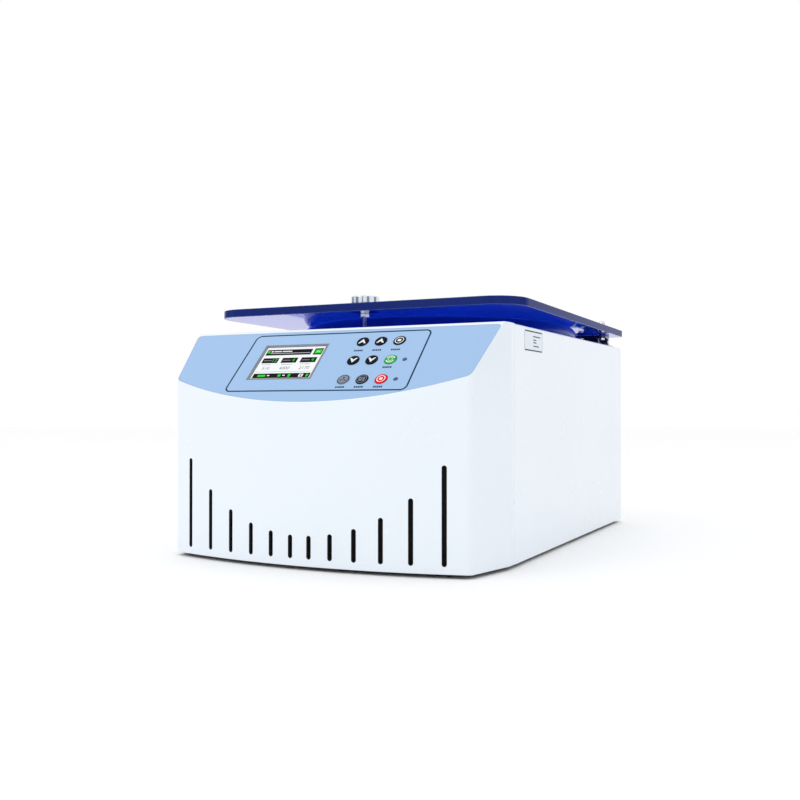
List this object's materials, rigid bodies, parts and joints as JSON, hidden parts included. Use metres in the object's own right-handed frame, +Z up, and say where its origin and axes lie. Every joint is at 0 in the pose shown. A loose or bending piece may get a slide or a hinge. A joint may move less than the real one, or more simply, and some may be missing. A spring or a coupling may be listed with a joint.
{
  "type": "laboratory centrifuge",
  "caption": "Bench-top laboratory centrifuge: bowed white casing, sloping blue keypad panel with display, hinged blue acrylic lid, angle rotor.",
  "frame": {"origin": "on the floor under the middle of the machine's overall box", "axes": "+Z up, the front with the control panel faces -Y, +X is the right side seen from the front"},
  "size_m": [0.3832, 0.5652, 0.2881],
  "materials": {
    "white_paint": "glossy baked paint",
    "zinc_steel": "satin",
    "rubber": "matt",
    "stainless": "fine brushed",
    "motor_black": "satin",
    "fascia_blue": "printed film",
    "bezel_grey": "satin",
    "display": "gloss",
    "led_lens": "gloss",
    "board_green": "solder mask",
    "black_plastic": "fine texture",
    "lid_blue": "polished acrylic",
    "cover_blue": "polished",
    "rotor_alloy": "turned and anodised",
    "steel_bright": "turned",
    "chrome": "polished",
    "hinge_black": "satin",
    "key_black": "satin",
    "key_green": "satin",
    "key_red": "satin",
    "key_grey": "satin"
  },
  "bodies": {
    "housing": {"base_pan": "motor_black", "foot_front_left": "rubber", "foot_front_right": "rubber", "foot_rear_left": "rubber", "foot_rear_right": "rubber", "front_cover": "white_paint", "left_side_panel": "white_paint", "right_side_panel": "white_paint", "rear_panel": "white_paint", "top_deck": "white_paint", "chamber_bowl": "stainless", "chamber_floor": "stainless", "chamber_seal": "rubber", "guard_ring": "zinc_steel", "shaft_boot": "rubber", "motor_plate": "zinc_steel", "motor_body": "motor_black", "motor_damper_1": "rubber", "motor_damper_2": "rubber", "motor_damper_3": "rubber", "control_fascia": "fascia_blue", "display_bezel": "bezel_grey", "display_module": "display", "run_led": "led_lens", "stop_led": "led_lens", "control_board": "board_green", "drive_board": "board_green", "power_inlet": "black_plastic", "switch_frame": "black_plastic", "fuse_holder": "black_plastic", "lock_body": "black_plastic", "hinge_base_left": "hinge_black", "hinge_base_right": "hinge_black", "hinge_pin_left": "chrome", "hinge_pin_right": "chrome"},
    "lid": {"lid_plate": "lid_blue", "lid_inner_cover": "cover_blue", "lid_knob": "chrome", "latch_stud": "chrome", "latch_nut": "chrome", "hinge_leaf_left": "hinge_black", "hinge_leaf_right": "hinge_black", "lid_bolt_left_outer": "chrome", "lid_bolt_left_inner": "chrome", "lid_bolt_right_inner": "chrome", "lid_bolt_right_outer": "chrome"},
    "rotor": {"rotor": "rotor_alloy", "rotor_nut": "steel_bright", "drive_shaft": "steel_bright"},
    "speed_up_key": {"speed_up_key": "key_black"},
    "time_up_key": {"time_up_key": "key_black"},
    "pulse_key": {"pulse_key": "key_black"},
    "speed_down_key": {"speed_down_key": "key_black"},
    "time_down_key": {"time_down_key": "key_black"},
    "start_key": {"start_key": "key_green"},
    "rotor_key": {"rotor_key": "key_grey"},
    "menu_key": {"menu_key": "key_black"},
    "stop_key": {"stop_key": "key_red"},
    "power_rocker": {"power_rocker": "black_plastic"},
    "lock_bolt": {"lock_bolt": "zinc_steel"}
  },
  "joints": [
    {"name": "lid_hinge", "type": "hinge", "parent": "housing", "child": "lid", "pos_m": [0, 0.26691, 0.2567], "axis": [-1, 0, 0], "range_deg": [0, 80]},
    {"name": "rotor_spin", "type": "hinge", "parent": "housing", "child": "rotor", "pos_m": [0, 0.06241, 0.2], "axis": [0, 0, 1], "continuous": true},
    {"name": "speed_up_press", "type": "slide", "parent": "housing", "child": "speed_up_key", "axis": [0, 0.7014, -0.7128], "range_m": [0, 0.0005], "stiffness_N_per_m": 1500},
    {"name": "time_up_press", "type": "slide", "parent": "housing", "child": "time_up_key", "axis": [0, 0.7014, -0.7128], "range_m": [0, 0.0005], "stiffness_N_per_m": 1500},
    {"name": "pulse_press", "type": "slide", "parent": "housing", "child": "pulse_key", "axis": [0, 0.7014, -0.7128], "range_m": [0, 0.0005], "stiffness_N_per_m": 1500},
    {"name": "speed_down_press", "type": "slide", "parent": "housing", "child": "speed_down_key", "axis": [0, 0.7014, -0.7128], "range_m": [0, 0.0005], "stiffness_N_per_m": 1500},
    {"name": "time_down_press", "type": "slide", "parent": "housing", "child": "time_down_key", "axis": [0, 0.7014, -0.7128], "range_m": [0, 0.0005], "stiffness_N_per_m": 1500},
    {"name": "start_press", "type": "slide", "parent": "housing", "child": "start_key", "axis": [0, 0.7014, -0.7128], "range_m": [0, 0.0005], "stiffness_N_per_m": 1500},
    {"name": "rotor_press", "type": "slide", "parent": "housing", "child": "rotor_key", "axis": [0, 0.7014, -0.7128], "range_m": [0, 0.0005], "stiffness_N_per_m": 1500},
    {"name": "menu_press", "type": "slide", "parent": "housing", "child": "menu_key", "axis": [0, 0.7014, -0.7128], "range_m": [0, 0.0005], "stiffness_N_per_m": 1500},
    {"name": "stop_press", "type": "slide", "parent": "housing", "child": "stop_key", "axis": [0, 0.7014, -0.7128], "range_m": [0, 0.0005], "stiffness_N_per_m": 1500},
    {"name": "power_switch", "type": "hinge", "parent": "housing", "child": "power_rocker", "pos_m": [-0.078, 0.27091, 0.062], "axis": [1, 0, 0], "range_deg": [0, 24]},
    {"name": "lock_slide", "type": "slide", "parent": "housing", "child": "lock_bolt", "axis": [-1, 0, 0], "range_m": [0, 0.01], "stiffness_N_per_m": 200}
  ]
}
